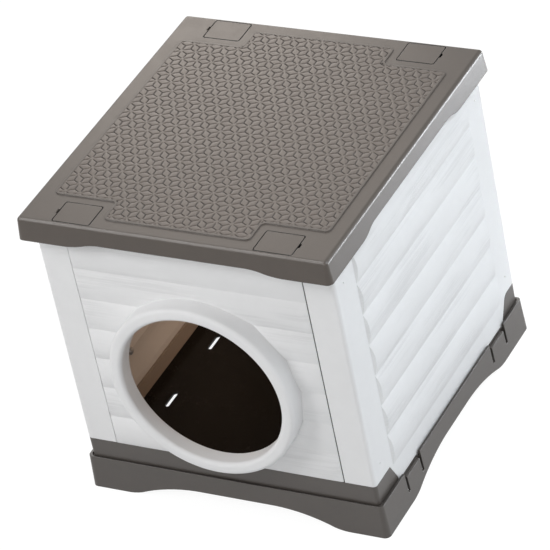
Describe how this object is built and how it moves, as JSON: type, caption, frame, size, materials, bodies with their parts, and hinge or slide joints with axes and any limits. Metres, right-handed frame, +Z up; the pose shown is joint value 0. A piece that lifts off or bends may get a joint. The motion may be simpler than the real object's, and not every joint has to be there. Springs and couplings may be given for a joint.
{
  "type": "pet house",
  "caption": "Flat-roofed plastic pet house with log-look walls, a round collared doorway, an arched skirt base and a roof that lifts off.",
  "frame": {"origin": "middle of the bounding box's underside, on the ground", "axes": "+Z up, -Y out of the doorway, +X to the right of someone inside the house looking at the back wall"},
  "size_m": [0.4252, 0.4646, 0.4307],
  "materials": {
    "taupe_plastic": "fine satin moulding with a faint grain",
    "white_plastic": "satin moulding with brushed wood grain on the logs",
    "black_plastic": "semi-gloss moulding",
    "steel": "zinc plated"
  },
  "bodies": {
    "house": {"base": "taupe_plastic", "floor_tray": "black_plastic", "left_panel": "white_plastic", "right_panel": "white_plastic", "front_panel": "white_plastic", "back_panel": "white_plastic", "corner_screws": "steel", "wall_studs": "steel"},
    "lid": {"roof": "taupe_plastic", "roof_screws": "steel"},
    "cap_front_left": {"cover_front_left": "taupe_plastic"},
    "cap_front_right": {"cover_front_right": "taupe_plastic"},
    "cap_back_left": {"cover_back_left": "taupe_plastic"},
    "cap_back_right": {"cover_back_right": "taupe_plastic"}
  },
  "joints": [
    {"name": "roof_lift", "type": "slide", "parent": "house", "child": "lid", "axis": [0, 0, 1], "range_m": [0, 0.12]},
    {"name": "cover_front_left_pry", "type": "slide", "parent": "lid", "child": "cap_front_left", "axis": [0, 0, 1], "range_m": [0, 0.03]},
    {"name": "cover_front_right_pry", "type": "slide", "parent": "lid", "child": "cap_front_right", "axis": [0, 0, 1], "range_m": [0, 0.03]},
    {"name": "cover_back_left_pry", "type": "slide", "parent": "lid", "child": "cap_back_left", "axis": [0, 0, 1], "range_m": [0, 0.03]},
    {"name": "cover_back_right_pry", "type": "slide", "parent": "lid", "child": "cap_back_right", "axis": [0, 0, 1], "range_m": [0, 0.03]}
  ]
}
